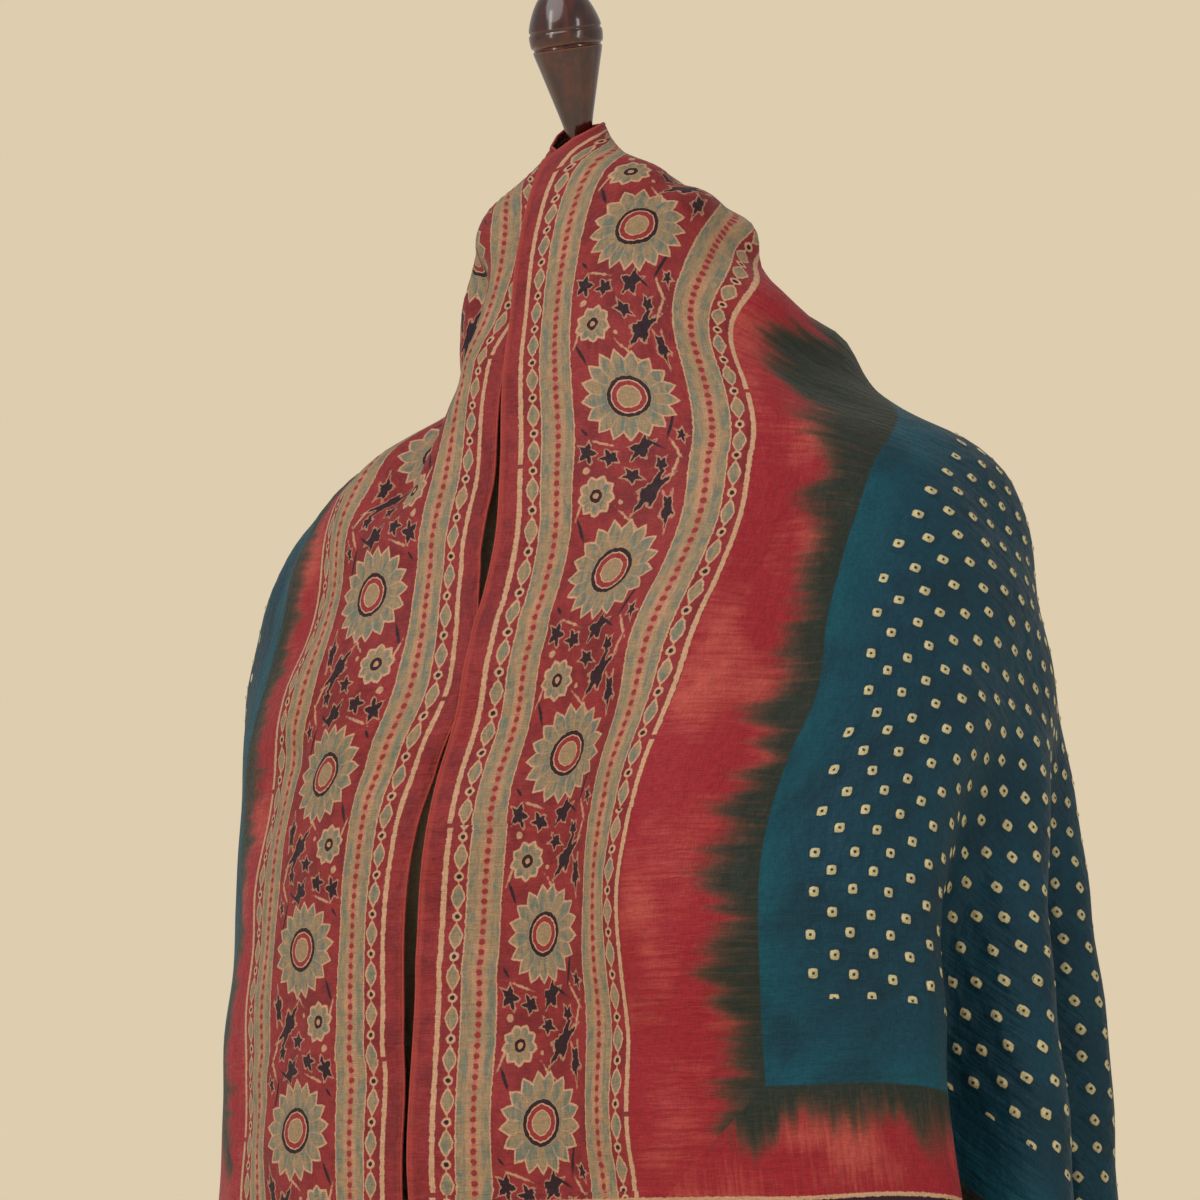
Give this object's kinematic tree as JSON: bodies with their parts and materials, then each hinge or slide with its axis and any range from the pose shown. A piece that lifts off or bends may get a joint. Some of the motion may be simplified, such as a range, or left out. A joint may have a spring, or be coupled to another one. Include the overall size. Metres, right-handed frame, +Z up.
{
  "type": "bandhani dupatta on a dress form",
  "caption": "Long bandhani tie-dyed dupatta with block-printed borders, draped as an open-fronted cape over a dress form with a turned neck finial on a round-based post.",
  "frame": {"origin": "centre of the round base's underside", "axes": "+Z up along the post, -Y towards the front opening of the cape, +X towards the panel that crosses on top"},
  "size_m": [0.5221, 0.3814, 1.532],
  "materials": {
    "printed_silk": "soft silk, crimson border and teal field with tied dots",
    "dark_wood": "glossy dark lacquer",
    "cream_cover": "matt cotton",
    "stand_wood": "satin"
  },
  "bodies": {
    "root": {"dupatta": "printed_silk", "finial": "dark_wood", "neck_cap": "dark_wood", "torso": "cream_cover", "post": "stand_wood", "base": "stand_wood"}
  },
  "joints": []
}
